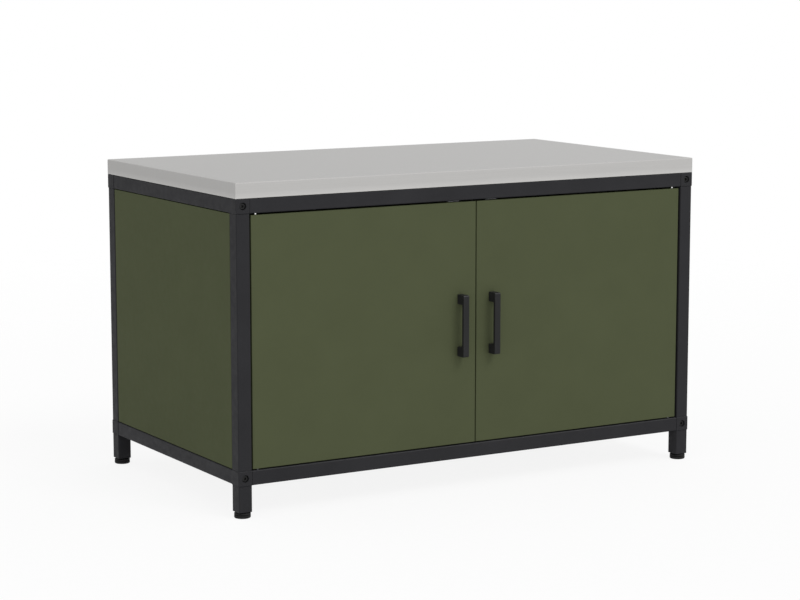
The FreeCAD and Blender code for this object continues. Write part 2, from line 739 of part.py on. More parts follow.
def shelf():
    width = f"frame_width - 2 * ({PANEL_INNER} + shelf_gap)"
    body = block("shelf", width, f"{OPENING_DEPTH} - 2 * shelf_gap", "shelf_thickness", "panel_edge")
    return keep(place(body, "0", MIDDLE_Y, "shelf_height + shelf_thickness / 2"))


def build():
    for end in POST_Y:
        for side in SIGNS:
            for level in RAIL_Z:
                corner(level, side, end)
            post(side, end)
            leg(side, end)
            foot(side, end)
    for level in RAIL_Z:
        for end in POST_Y:
            long_rail(level, end)
        for side in SIGNS:
            side_rail(level, side)
    corner_screws()
    rail_inserts()
    leg_plugs()
    worktop()
    hinge_pins()
    magnet_catches()
    for side in SIGNS:
        door(side)
        handle(side)
        side_panel(side)
    back_panel()
    floor_board()
    shelf()
    cleats()


def check_and_write():
    """Stops on any object that failed, then writes each node to its own file."""
    doc.recompute()
    for item in doc.Objects:
        if "Invalid" in item.State or "Error" in item.State:
            raise RuntimeError(f"{item.Label} failed: {item.State}")
    for piece in nodes:
        if piece.Shape.isNull() or not piece.Shape.isValid():
            raise RuntimeError(f"{piece.Label} has no valid shape")
    os.makedirs("parts", exist_ok=True)
    for piece in nodes:
        piece.Shape.exportStep(f"parts/{piece.Label}.step")
    print(len(nodes), "nodes written")


build()
check_and_write()
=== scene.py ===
# %% [markdown]
# # A free-standing kitchen cabinet
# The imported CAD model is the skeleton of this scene: a frame of square tube with cube corners, two doors
# on pivots, boards, a worktop and levelling feet. It is loaded first and never changed. What shows most is
# then modelled again with soft edges, each new piece rides on the body that its CAD node belongs to, and
# every surface gets a finish made of nodes.

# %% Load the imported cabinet
import json
import math

import bmesh
import bpy
from mathutils import Matrix, Vector

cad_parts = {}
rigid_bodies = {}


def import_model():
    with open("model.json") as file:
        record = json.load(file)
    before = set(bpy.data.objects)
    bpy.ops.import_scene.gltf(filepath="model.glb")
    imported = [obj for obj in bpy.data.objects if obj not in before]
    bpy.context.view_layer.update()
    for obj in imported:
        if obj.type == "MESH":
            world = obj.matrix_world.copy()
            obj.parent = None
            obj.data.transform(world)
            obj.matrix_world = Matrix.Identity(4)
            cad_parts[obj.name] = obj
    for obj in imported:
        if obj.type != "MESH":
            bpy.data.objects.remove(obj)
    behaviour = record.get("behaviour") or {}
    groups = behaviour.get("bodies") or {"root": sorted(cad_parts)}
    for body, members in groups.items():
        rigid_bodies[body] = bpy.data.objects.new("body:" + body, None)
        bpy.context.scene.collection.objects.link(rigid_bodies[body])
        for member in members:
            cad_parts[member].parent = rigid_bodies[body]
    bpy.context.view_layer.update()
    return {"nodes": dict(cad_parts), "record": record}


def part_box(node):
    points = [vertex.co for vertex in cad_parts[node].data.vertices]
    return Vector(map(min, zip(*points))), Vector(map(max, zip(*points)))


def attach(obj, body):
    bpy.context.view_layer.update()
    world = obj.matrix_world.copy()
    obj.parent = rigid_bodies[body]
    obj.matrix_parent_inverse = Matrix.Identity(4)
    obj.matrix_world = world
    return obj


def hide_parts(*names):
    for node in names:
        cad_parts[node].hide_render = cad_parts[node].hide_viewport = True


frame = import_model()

MM = 0.001
nodes = frame["nodes"]

# %% [markdown]
# ## Tools of the bench
# A modelling tool acts on whatever is selected, so each helper first leaves edit mode and clears the
# selection. A finished piece keeps its place in its mesh and its object at the origin, as the CAD nodes do.

# %% Select one piece, and settle it at the origin


def clear_selection():
    """Leaves edit mode and deselects everything, so that the next tool meets one piece only."""
    if bpy.context.mode != "OBJECT":
        bpy.ops.object.mode_set(mode="OBJECT")
    bpy.ops.object.select_all(action="DESELECT")


def choose(piece):
    """Makes one piece the selected and active one."""
    clear_selection()
    piece.select_set(True)
    bpy.context.view_layer.objects.active = piece


def named(name):
    """Names the piece that was just added, and puts its place, turn and scale into its mesh."""
    piece = bpy.context.object
    piece.name = name
    piece.data.name = name
    choose(piece)
    bpy.ops.object.transform_apply(location=True, rotation=True, scale=True)
    return piece


# %% [markdown]
# Faces and edges are picked by where they are and which way they point, as one would click them by hand. A
# direction follows an axis if its part along it is over FACING, and lies across it if that is under ACROSS.

# %% Pick faces and edges by place

NEAR = 0.1 * MM
FACING = 0.9
ACROSS = 0.1
SHARP_ANGLE = math.radians(35)
ANY_ANGLE = -1.0


def open_mesh(piece, kind):
    """Opens a piece in edit mode with nothing selected; kind is EDGE or FACE."""
    choose(piece)
    bpy.ops.object.mode_set(mode="EDIT")
    bpy.ops.mesh.select_mode(type=kind)
    bpy.ops.mesh.select_all(action="DESELECT")
    return bmesh.from_edit_mesh(piece.data)


def pick_faces(piece, wanted):
    """Selects the faces whose centre and normal are wanted."""
    shape = open_mesh(piece, "FACE")
    for face in shape.faces:
        if wanted(face.calc_center_median(), face.normal):
            face.select_set(True)
    bmesh.update_edit_mesh(piece.data)


def every(middle, along):
    """Wants every edge."""
    return True


def pick_edges(piece, wanted, sharper_than=ANY_ANGLE):
    """Selects the edges whose middle and direction are wanted, if their faces meet at more than an angle."""
    shape = open_mesh(piece, "EDGE")
    for edge in shape.edges:
        start, end = edge.verts[0].co, edge.verts[1].co
        sharp = edge.calc_face_angle(0) > sharper_than
        if sharp and wanted((start + end) / 2, (end - start).normalized()):
            edge.select_set(True)
    bmesh.update_edit_mesh(piece.data)


def pick_sharp(piece, wanted=every):
    """Selects the wanted edges among those where two faces meet at a clear angle."""
    pick_edges(piece, wanted, SHARP_ANGLE)


# %% [markdown]
# No edge on a real piece is a knife edge. The bevel tool rounds the picked edges in a number of steps: few
# for a broken rim, more for a bend that shows.

# %% Round the picked edges

RIM_STEPS = 2
SMALL_STEPS = 3
EDGE_STEPS = 4
BEND_STEPS = 6


def round_picked(radius, steps):
    """Rounds the picked edges."""
    bpy.ops.mesh.bevel(
        offset=radius, offset_type="OFFSET", segments=steps, affect="EDGES", clamp_overlap=True)
    bpy.ops.object.mode_set(mode="OBJECT")


# %% [markdown]
# Rounded edges only look right when the flat faces stay flat in the shading. Smoothing by angle and then
# weighting the normals by face area does that: the large faces win, and only the narrow roundings bend.

# %% Finish a piece: modifiers, shading, finish and ride

SMOOTH_ANGLE = math.radians(40)


def apply_modifier(piece, kind, **settings):
    """Adds a modifier, sets it and applies it."""
    choose(piece)
    modifier = piece.modifiers.new(kind.lower(), kind)
    for key, value in settings.items():
        setattr(modifier, key, value)
    bpy.ops.object.modifier_apply(modifier=modifier.name)


def shade(piece):
    """Shades roundings smooth and flats flat."""
    choose(piece)
    bpy.ops.object.shade_smooth_by_angle(angle=SMOOTH_ANGLE)
    apply_modifier(piece, "WEIGHTED_NORMAL", keep_sharp=True)


def hand_over(piece, finish, body, slot, *replaced):
    """Gives a piece its finish, lets it ride on its body and hides the CAD nodes that it stands for."""
    shade(piece)
    piece.data.materials.clear()
    piece.data.materials.append(finish)
    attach(piece, body)
    if replaced:
        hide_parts(*replaced)
    print(piece.name, "faces:", len(piece.data.polygons), "rides on", body)
    return piece


# %% [markdown]
# ## Finishes
# No real surface is one flat colour. Each finish below is a Principled shader whose colour and roughness
# drift a little over the surface, with a fine relief: orange peel in the coats, brush lines in the steel,
# flecks in the boards. Noise on Object coordinates does it, since every piece sits at the origin in metres.

# %% Start a finish, and make a grain

GRAIN_DETAIL = 3.0


def new_finish(name):
    """An empty finish: its node tree and its shader."""
    finish = bpy.data.materials.new(name)
    finish.use_nodes = True
    print("finish:", name)
    return finish, finish.node_tree, finish.node_tree.nodes["Principled BSDF"]


def grain(tree, scale, detail=GRAIN_DETAIL, stretch=(1, 1, 1)):
    """Noise from 0 to 1 on Object coordinates, drawn out along the axes with a small stretch."""
    place = tree.nodes.new("ShaderNodeTexCoord")
    mapping = tree.nodes.new("ShaderNodeMapping")
    noise = tree.nodes.new("ShaderNodeTexNoise")
    mapping.inputs["Scale"].default_value = stretch
    noise.inputs["Scale"].default_value = scale
    noise.inputs["Detail"].default_value = detail
    tree.links.new(place.outputs["Object"], mapping.inputs["Vector"])
    tree.links.new(mapping.outputs["Vector"], noise.inputs["Vector"])
    return noise.outputs["Fac"]


# %% [markdown]
# A noise runs from 0 to 1, but stays near the middle almost everywhere. Used as it is, it would hardly show,
# so its middle stretch is spread over the values or the colours that are wanted.

# %% Turn a grain into values, colours and relief

GRAIN_FROM = 0.3
GRAIN_TO = 0.7


def spread(tree, amount, low, high, start=GRAIN_FROM, end=GRAIN_TO):
    """Maps an amount between start and end to a range of values."""
    ruler = tree.nodes.new("ShaderNodeMapRange")
    ruler.inputs["From Min"].default_value = start
    ruler.inputs["From Max"].default_value = end
    ruler.inputs["To Min"].default_value = low
    ruler.inputs["To Max"].default_value = high
    tree.links.new(amount, ruler.inputs["Value"])
    return ruler.outputs["Result"]


def tone(tree, amount, dark, light):
    """Maps a grain to a range of colours."""
    ramp = tree.nodes.new("ShaderNodeValToRGB")
    first, last = ramp.color_ramp.elements
    first.position = GRAIN_FROM
    last.position = GRAIN_TO
    first.color = (*dark, 1)
    last.color = (*light, 1)
    tree.links.new(amount, ramp.inputs["Fac"])
    return ramp.outputs["Color"]


def relief(tree, shader, height, depth, strength):
    """Raises the surface by the noise, by a depth in metres."""
    bump = tree.nodes.new("ShaderNodeBump")
    bump.inputs["Strength"].default_value = strength
    bump.inputs["Distance"].default_value = depth
    tree.links.new(height, bump.inputs["Height"])
    tree.links.new(bump.outputs["Normal"], shader.inputs["Normal"])


def shades(colour, amount):
    """A colour made darker and lighter by a share."""
    return [part * (1 - amount) for part in colour], [part * (1 + amount) for part in colour]


# %% [markdown]
# The frame, handles and feet wear a powder coat: matt black, baked on, with a pebbly skin about a millimetre
# across. The doors and panels are lacquered olive green, with a finer skin. A plain colour with gloss would
# look like plastic film, so one function makes all of these from two noises: a wide cloud for the drift of
# the tone, and the skin. The skin also goes into the colour, as a coat lies thinner on its pebbles.

# %% Coats

CLOUD_SCALE = 9.0
CLOUD_DETAIL = 5.0
SKIN_DETAIL = 2.0
SKIN_SHARE = 0.6
SKIN_DEPTH = 0.1 * MM
PATCH_SCALE = 55.0
PATCH_DETAIL = 4.0


def coat(name, colour, drift, roughness, gloss, skin_scale, skin_strength):
    """A baked or sprayed coat with drifting tone and an orange-peel skin."""
    finish, tree, shader = new_finish(name)
    cloud = grain(tree, CLOUD_SCALE, CLOUD_DETAIL)
    skin = grain(tree, skin_scale, SKIN_DETAIL)
    both = tree.nodes.new("ShaderNodeMix")
    both.inputs["Factor"].default_value = SKIN_SHARE
    tree.links.new(cloud, both.inputs["A"])
    tree.links.new(skin, both.inputs["B"])
    tree.links.new(tone(tree, both.outputs["Result"], *shades(colour, drift)), shader.inputs["Base Color"])
    patches = grain(tree, PATCH_SCALE, PATCH_DETAIL)
    tree.links.new(spread(tree, patches, *roughness), shader.inputs["Roughness"])
    shader.inputs["Specular IOR Level"].default_value = gloss
    relief(tree, shader, skin, SKIN_DEPTH, skin_strength)
    return finish


FRAME_BLACK = coat("frame_powder_coat", colour=(0.0229, 0.0228, 0.0252), drift=0.22,
                   roughness=(0.48, 0.62), gloss=0.10, skin_scale=800, skin_strength=0.60)
HANDLE_BLACK = coat("handle_powder_coat", colour=(0.0205, 0.0205, 0.021), drift=0.20,
                    roughness=(0.42, 0.56), gloss=0.10, skin_scale=1000, skin_strength=0.50)
FOOT_BLACK = coat("foot_coat", colour=(0.014, 0.014, 0.014), drift=0.25,
                  roughness=(0.50, 0.62), gloss=0.12, skin_scale=700, skin_strength=0.50)
SCREW_BLACK = coat("screw_black_oxide", colour=(0.014, 0.014, 0.014), drift=0.25,
                   roughness=(0.34, 0.46), gloss=0.25, skin_scale=1600, skin_strength=0.20)
OLIVE = coat("olive_lacquer", colour=(0.0778, 0.0885, 0.0468), drift=0.07,
             roughness=(0.62, 0.74), gloss=0.03, skin_scale=1000, skin_strength=0.25)
PLASTIC = coat("black_plastic", colour=(0.016, 0.016, 0.016), drift=0.20,
               roughness=(0.42, 0.55), gloss=0.40, skin_scale=1200, skin_strength=0.40)

# %% [markdown]
# The worktop is a folded sheet of brushed stainless steel. Its brush lines run the length of the sheet, so
# on the top, front and back they follow X, and where the sheet folds down at the two ends they run down it.
# One noise drawn out along X would meet the ends end on, as dots. So there are two stretched noises, and the
# Normal output of Texture Coordinate, which tells the ends from the rest, picks one of them.

# %% Brushed metal

BRUSH_DETAIL = 4.0
BRUSH_STRENGTH = 0.35
END_FACING = (0.6, 0.8)


def coordinate(tree, kind, axis):
    """One axis of a texture coordinate, such as Object or Normal."""
    place = tree.nodes.new("ShaderNodeTexCoord")
    split = tree.nodes.new("ShaderNodeSeparateXYZ")
    tree.links.new(place.outputs[kind], split.inputs["Vector"])
    return split.outputs[axis]


def brushed(name, colour, drift, roughness, across, along, depth):
    """Brushed metal: noise drawn out along the brush, thin across it, turned down at the end faces."""
    finish, tree, shader = new_finish(name)
    length_lines = grain(tree, 1.0, BRUSH_DETAIL, (along, across, across))
    end_lines = grain(tree, 1.0, BRUSH_DETAIL, (across, across, along))
    size = tree.nodes.new("ShaderNodeMath")
    size.operation = "ABSOLUTE"
    tree.links.new(coordinate(tree, "Normal", "X"), size.inputs[0])
    lines = tree.nodes.new("ShaderNodeMix")
    tree.links.new(spread(tree, size.outputs["Value"], 0.0, 1.0, *END_FACING), lines.inputs["Factor"])
    tree.links.new(length_lines, lines.inputs["A"])
    tree.links.new(end_lines, lines.inputs["B"])
    scratch = lines.outputs["Result"]
    tree.links.new(tone(tree, scratch, *shades(colour, drift)), shader.inputs["Base Color"])
    tree.links.new(spread(tree, scratch, *roughness), shader.inputs["Roughness"])
    shader.inputs["Metallic"].default_value = 1.0
    relief(tree, shader, scratch, depth, BRUSH_STRENGTH)
    return finish


STAINLESS = brushed("brushed_stainless", colour=(0.99, 0.978, 0.957), drift=0.035,
                    roughness=(0.30, 0.40), across=900, along=6, depth=0.03 * MM)
ZINC = brushed("zinc_plate", colour=(0.55, 0.56, 0.58), drift=0.06,
               roughness=(0.28, 0.40), across=350, along=90, depth=0.03 * MM)
BRIGHT_STEEL = brushed("nickel_plate", colour=(0.84, 0.84, 0.82), drift=0.03,
                       roughness=(0.16, 0.24), across=500, along=120, depth=0.01 * MM)

# %% [markdown]
# The colour of the worktop carries painted reflection and shade. Down the folded sides it is painted lighter
# towards the lower bend and darker in the middle, and the whole top has a lighter level of its own. The
# height in the Object coordinates gives a ramp for that, which multiplies the brushed colour: one level for
# the whole top, and several down the sides. The top is seen at a flat angle, where metal gleams most, so its
# edge tint is turned down.

# %% Paint reflection and shade down the worktop

BEND_LOW, BEND_HIGH = (corner.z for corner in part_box("worktop_skin"))
# painted reflection and shade: levels that make the steel's colour lighter and darker with height, lightest
# on the top and at the lower bend
PAINTED_REFLECTION_TONES = ((0.0, 0.60), (0.14, 0.57), (0.40, 0.525), (0.93, 0.53), (1.0, 0.605))
EDGE_TINT = 0.72
RAMP_MIDDLE = 0.5


def grey(level):
    """A plain grey, as a socket or a ramp takes it."""
    return (level, level, level, 1)


tree = STAINLESS.node_tree
shader = tree.nodes["Principled BSDF"]
shader.inputs["Specular Tint"].default_value = grey(EDGE_TINT)
height = spread(tree, coordinate(tree, "Object", "Z"), 0.0, 1.0, BEND_LOW, BEND_HIGH)
ramp = tree.nodes.new("ShaderNodeValToRGB")
tree.links.new(height, ramp.inputs["Fac"])
stops = ramp.color_ramp.elements
while len(stops) < len(PAINTED_REFLECTION_TONES):
    stops.new(RAMP_MIDDLE)
for stop, (position, level) in zip(stops, PAINTED_REFLECTION_TONES):
    stop.position = position
    stop.color = grey(level)
# the brushed colour is multiplied by this ramp of painted reflection and shade
painted_reflection = tree.nodes.new("ShaderNodeMix")
painted_reflection.data_type = "RGBA"
painted_reflection.blend_type = "MULTIPLY"
painted_reflection.inputs["Factor"].default_value = 1.0
brush_colour = shader.inputs["Base Color"].links[0].from_socket
tree.links.new(brush_colour, painted_reflection.inputs["A"])
tree.links.new(ramp.outputs["Color"], painted_reflection.inputs["B"])
tree.links.new(painted_reflection.outputs["Result"], shader.inputs["Base Color"])
print("bend from", BEND_LOW, "to", BEND_HIGH)

# %% [markdown]
# Inside are a floor board and a shelf of melamine-faced board, warm grey with a faint linen fleck, and the
# raw particle board that fills the worktop. Both are flecked boards. One noise with fine detail, drawn out
# along Y, makes the flecks: faint and small on the melamine, strong and coarse as the chips of the raw board.

# %% Boards

CHIP_DETAIL = 6.0
CHIP_STRETCH = (1, 0.45, 1)
CHIP_STRENGTH = 0.3
WIPE_SCALE = 60.0
BOARD_GLOSS = 0.3


def board_finish(name, colour, drift, fleck, roughness, depth):
    """Faced or raw board: flecks of lighter and darker chips."""
    finish, tree, shader = new_finish(name)
    chips = grain(tree, fleck, CHIP_DETAIL, CHIP_STRETCH)
    tree.links.new(tone(tree, chips, *shades(colour, drift)), shader.inputs["Base Color"])
    tree.links.new(spread(tree, grain(tree, WIPE_SCALE), *roughness), shader.inputs["Roughness"])
    shader.inputs["Specular IOR Level"].default_value = BOARD_GLOSS
    relief(tree, shader, chips, depth, CHIP_STRENGTH)
    return finish


MELAMINE = board_finish("grey_melamine", colour=(0.34, 0.32, 0.29), drift=0.04, fleck=420,
                        roughness=(0.45, 0.55), depth=0.05 * MM)
CHIPBOARD = board_finish("raw_chipboard", colour=(0.42, 0.30, 0.17), drift=0.30, fleck=260,
                         roughness=(0.75, 0.9), depth=0.2 * MM)

# %% [markdown]
# ## Worktop
# The slab is a thin sheet folded round a core, with a narrow return underneath. It could be a solid block
# with a rounded top, but the underside shows when a door is open, so it is made as the sheet is: a box whose
# bottom is cut back to a return flange, rounded where the sheet bends, and then given its thickness inwards.

# %% Fold the worktop skin

WORKTOP_BEND = 3.0 * MM
WORKTOP_LOWER_BEND = 3.0 * MM
WORKTOP_RETURN = 15 * MM
WORKTOP_SHEET = 1.5 * MM


def block(name, low, high):
    """A cube drawn out to fill a box."""
    clear_selection()
    bpy.ops.mesh.primitive_cube_add(size=1, location=(low + high) / 2, scale=high - low)
    return named(name)


low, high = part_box("worktop_skin")
skin = block("worktop_sheet", low, high)
pick_faces(skin, lambda centre, normal: normal.z < -FACING)
bpy.ops.mesh.inset(thickness=WORKTOP_RETURN)
bpy.ops.mesh.delete(type="FACE")
pick_edges(skin, lambda middle, along: middle.z > high.z - NEAR or abs(along.z) > FACING)
round_picked(WORKTOP_BEND, BEND_STEPS)
pick_edges(skin, lambda middle, along: middle.z < low.z + NEAR and (
    min(abs(middle.x - low.x), abs(middle.x - high.x)) < NEAR
    or min(abs(middle.y - low.y), abs(middle.y - high.y)) < NEAR))
round_picked(WORKTOP_LOWER_BEND, SMALL_STEPS)
apply_modifier(skin, "SOLIDIFY", thickness=WORKTOP_SHEET, offset=-1, use_even_offset=True)
hand_over(skin, STAINLESS, "cabinet", "stainless", "worktop_skin")

# %% [markdown]
# ## Doors, panels and boards
# Each of these is a board with eased edges. A plain cube would have razor edges that never catch the light,
# so all edges are rounded with the bevel tool. The doors are eased a little more, as a hand touches them.

# %% Ease the boards

SIDES = ("left", "right")
DOOR_EDGE = 1.5 * MM
PANEL_EDGE = 1.2 * MM


def board(name, node, edge, finish, body, slot):
    """A board that fills its CAD node's box, with all its edges eased."""
    piece = block(name, *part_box(node))
    pick_edges(piece, every)
    round_picked(edge, EDGE_STEPS)
    return hand_over(piece, finish, body, slot, node)


for side in SIDES:
    board(f"door_board_{side}", f"door_{side}", DOOR_EDGE, OLIVE, f"{side}_door", "olive_green")
    board(f"side_board_{side}", f"panel_{side}", PANEL_EDGE, OLIVE, "cabinet", "olive_green")
board("back_board", "panel_back", PANEL_EDGE, OLIVE, "cabinet", "olive_green")
board("floor_panel", "floor_board", PANEL_EDGE, MELAMINE, "cabinet", "inner_board")
board("shelf_panel", "shelf", PANEL_EDGE, MELAMINE, "cabinet", "inner_board")

# %% [markdown]
# ## Handles
# A handle is a flat upright bar on two square feet. It could be three blocks put together, but then the
# edges between them would show. So it starts as the bar: two cuts mark off the feet, and the back faces of
# the two ends are drawn out to the door. The two ends of its front are rounded generously, as a hand slides
# over them, and every other edge only a little.

# %% Draw out the handles

HANDLE_BAR = 8.5 * MM
HANDLE_FOOT = 27 * MM
HANDLE_END_ROUND = 5.0 * MM
HANDLE_EDGE = 1.4 * MM
FLAT_ANGLE = math.radians(1)


def pick_all(piece, kind="FACE"):
    """Opens a piece with everything selected."""
    open_mesh(piece, kind)
    bpy.ops.mesh.select_all(action="SELECT")


def cut_across(piece, *heights):
    """Cuts all faces along level planes."""
    for height in heights:
        pick_all(piece)
        bpy.ops.mesh.bisect(plane_co=(0, 0, height), plane_no=(0, 0, 1))
    bpy.ops.object.mode_set(mode="OBJECT")


def pull_handle(side):
    """The U-shaped handle of one door."""
    low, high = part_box(f"handle_{side}")
    back = low.y + HANDLE_BAR
    piece = block(f"pull_{side}", low, Vector((high.x, back, high.z)))
    feet = low.z + HANDLE_FOOT, high.z - HANDLE_FOOT
    cut_across(piece, *feet)
    pick_faces(piece, lambda centre, normal: normal.y > FACING and not feet[0] < centre.z < feet[1])
    bpy.ops.mesh.extrude_region_move(TRANSFORM_OT_translate={"value": (0, high.y - back, 0)})
    pick_edges(piece, every)
    bpy.ops.mesh.dissolve_limited(angle_limit=FLAT_ANGLE)
    pick_edges(piece, lambda middle, along: abs(along.x) > FACING and middle.y < low.y + NEAR)
    round_picked(HANDLE_END_ROUND, BEND_STEPS)
    pick_sharp(piece)
    round_picked(HANDLE_EDGE, EDGE_STEPS)
    return hand_over(piece, HANDLE_BLACK, f"{side}_door", "handle_black", f"handle_{side}")


for side in SIDES:
    pull_handle(side)

# %% [markdown]
# ## Cube corners
# Where three tubes meet there is a cast cube, a millimetre proud of them, with a counterbore in its face for
# the screw. The faces towards the tubes stay back by a little over half a millimetre, and a spigot is drawn
# out of each into its tube: that leaves the fine dark joint line that real frames have. Two tools are needed:
# a boolean, which takes one shape out of another, and an inset with an extrusion, which draws a face out.

# %% Carve, and draw out a spigot

JOINT_GAP = 0.6 * MM
SPIGOT_INSET = 1.3 * MM
SQUARE_ON = 0.999


def carve(piece, cutter):
    """Takes the cutter's shape out of a piece."""
    apply_modifier(piece, "BOOLEAN", operation="DIFFERENCE", solver="EXACT", object=cutter)
    bpy.data.objects.remove(cutter)


def draw_out(piece, wanted, inset, way):
    """Insets a flat face and draws its middle out."""
    pick_faces(piece, wanted)
    bpy.ops.mesh.inset(thickness=inset)
    bpy.ops.mesh.extrude_region_move(TRANSFORM_OT_translate={"value": way})
    bpy.ops.object.mode_set(mode="OBJECT")


def spigot(piece, way, reach):
    """Draws a spigot out of the outermost face that points one way."""
    edge = max(corner.co.dot(way) for corner in piece.data.vertices) - NEAR
    draw_out(piece, lambda centre, normal: normal.dot(way) > SQUARE_ON and centre.dot(way) > edge,
             SPIGOT_INSET, way * (JOINT_GAP + reach))


# %% [markdown]
# The cube could be bored first, but rounding all its edges would then soften the bore as well. So it is
# rounded first and bored afterwards, with a cylinder as the cutter, and a last small bevel breaks the rim of
# the bore. The post and the rail that meet in the cube give it its place.

# %% Bore a cube corner

CUBE_PROUD = 1 * MM
CUBE_EDGE = 1.8 * MM
SPIGOT_REACH = 30 * MM
BORE_RADIUS = 10 * MM
BORE_DEPTH = 14 * MM
BORE_RIM = 0.5 * MM
BORE_SIDES = 64
ALONG_X = Vector((1, 0, 0))
ALONG_Y = Vector((0, 1, 0))
ALONG_Z = Vector((0, 0, 1))


def cube_corner(level):
    """The front left corner of one level, bored in its front face."""
    post_low, post_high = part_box("post_front_left")
    rail_low, rail_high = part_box(f"rail_{level}_front")
    if level == "bottom":
        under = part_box("leg_front_left")[1].z + JOINT_GAP
        over = post_low.z - JOINT_GAP
    else:
        under = post_high.z + JOINT_GAP
        over = rail_high.z
    inner = CUBE_PROUD - JOINT_GAP
    low = Vector((post_low.x - CUBE_PROUD, post_low.y - CUBE_PROUD, under))
    high = Vector((post_high.x + inner, post_high.y + inner, over))
    piece = block(f"cube_{level}_front_left", low, high)
    pick_edges(piece, every)
    round_picked(CUBE_EDGE, EDGE_STEPS)
    axis = Vector(((post_low.x + post_high.x) / 2, low.y, (rail_low.z + rail_high.z) / 2))
    clear_selection()
    bpy.ops.mesh.primitive_cylinder_add(vertices=BORE_SIDES, radius=BORE_RADIUS, depth=2 * BORE_DEPTH,
                                        location=axis, rotation=(math.pi / 2, 0, 0))
    carve(piece, named("cutter"))
    pick_edges(piece, lambda middle, along: middle.y < low.y + NEAR and abs(
        math.hypot(middle.x - axis.x, middle.z - axis.z) - BORE_RADIUS) < NEAR)
    round_picked(BORE_RIM, RIM_STEPS)
    spigot(piece, ALONG_X, SPIGOT_REACH)
    spigot(piece, ALONG_Y, 0)
    spigot(piece, ALONG_Z if level == "bottom" else -ALONG_Z, SPIGOT_REACH)
    if level == "bottom":
        spigot(piece, -ALONG_Z, SPIGOT_REACH)
    return piece


# %% [markdown]
# Eight corners could be modelled one by one, but the right ones mirror the left ones, and a rear corner is
# the front one across from it, turned half round. A mirrored mesh comes out with its faces turned in, so its
# normals are made consistent again.

# %% Copy, mirror and turn a corner

HALF_TURN = Matrix.Rotation(math.pi, 4, "Z")


def middle_of(node):
    """The middle of a CAD node's box."""
    low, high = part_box(node)
    return (low + high) / 2


def twin(piece, name, change):
    """A copy with its own mesh, moved or turned by a matrix."""
    choose(piece)
    bpy.ops.object.duplicate()
    copy = bpy.context.object
    copy.matrix_world = change
    return named(name)


def turn_outwards(piece):
    """Makes the faces of a closed piece point outwards."""
    pick_all(piece)
    bpy.ops.mesh.normals_make_consistent(inside=False)
    bpy.ops.object.mode_set(mode="OBJECT")


def mirrored(piece, name):
    """The same corner for the other side of the cabinet."""
    copy = twin(piece, name, Matrix.Scale(-1, 4, ALONG_X))
    turn_outwards(copy)
    return copy


def turned_round(piece, name, start, goal):
    """A front corner turned half round about its post, and set on a rear post."""
    turn = Matrix.Translation(middle_of(goal)) @ HALF_TURN @ Matrix.Translation(-middle_of(start))
    return twin(piece, name, turn)


# %% Set the eight corners

LEVELS = ("bottom", "top")

for level in LEVELS:
    left = cube_corner(level)
    right = mirrored(left, f"cube_{level}_front_right")
    rear_right = turned_round(left, f"cube_{level}_rear_right", "post_front_left", "post_rear_right")
    rear_left = turned_round(right, f"cube_{level}_rear_left", "post_front_right", "post_rear_left")
    for piece in (left, right, rear_right, rear_left):
        hand_over(piece, FRAME_BLACK, "cabinet", "frame_black", piece.name.replace("cube", "corner"))

# %% [markdown]
# ## Corner screws
# A socket screw sits at the bottom of each counterbore and pulls on the side rail behind it. Only its head
# shows, but it is made whole, as a real one is turned: a cylinder for the head with a rounded rim, a
# six-sided cutter for the key, and a shank drawn out of the back of the head.

# %% Turn a corner screw

BOLT_HEAD_RADIUS = 8 * MM
BOLT_HEAD_HEIGHT = 10 * MM
BOLT_RIM = 1.0 * MM
BOLT_SIDES = 48
BOLT_KEY = 8 * MM
BOLT_KEY_DEPTH = 5 * MM
BOLT_KEY_RIM = 0.3 * MM
BOLT_SHANK_RADIUS = 5 * MM
BOLT_SHANK_LENGTH = 53 * MM
HEX_SIDES = 6


def cylinder(name, radius, low, high, sides):
    """An upright cylinder on the Z axis, between two heights."""
    clear_selection()
    bpy.ops.mesh.primitive_cylinder_add(
        vertices=sides, radius=radius, depth=high - low, location=(0, 0, (low + high) / 2))
    return named(name)


def hex_radius(flats):
    """The corner radius of a hexagon, from its width across flats."""
    return flats / math.sqrt(3)


def corner_bolt():
    """A socket screw with its head below zero and its shank above."""
    face = -BOLT_HEAD_HEIGHT
    bolt = cylinder("corner_bolt", BOLT_HEAD_RADIUS, face, 0, BOLT_SIDES)
    pick_edges(bolt, lambda middle, along: middle.z < face + NEAR)
    round_picked(BOLT_RIM, SMALL_STEPS)
    key = hex_radius(BOLT_KEY)
    carve(bolt, cylinder("cutter", key, face - BOLT_KEY_DEPTH, face + BOLT_KEY_DEPTH, HEX_SIDES))
    pick_edges(bolt, lambda middle, along: middle.z < face + NEAR and math.hypot(middle.x, middle.y) < key)
    round_picked(BOLT_KEY_RIM, RIM_STEPS)
    draw_out(bolt, lambda centre, normal: normal.z > FACING and centre.z > -NEAR,
             BOLT_HEAD_RADIUS - BOLT_SHANK_RADIUS, (0, 0, BOLT_SHANK_LENGTH))
    return bolt


# %% [markdown]
# What repeats on one body is modelled once, upright at the origin, then copied to its places and joined into
# one piece. The eight screws are laid down in their bores this way.

# %% Set the corner screws

TO_BACK = Matrix.Rotation(-math.pi / 2, 4, "X")
TO_FRONT = Matrix.Rotation(math.pi / 2, 4, "X")


def weld(name, pieces):
    """Joins pieces into one object."""
    choose(pieces[0])
    for piece in pieces[1:]:
        piece.select_set(True)
    bpy.ops.object.join()
    return named(name)


def cast(master, name, places):
    """Copies a master to each place and joins the copies; the master itself goes."""
    copies = [twin(master, f"{name}_{number}", place) for number, place in enumerate(places)]
    bpy.data.objects.remove(master)
    return weld(name, copies)


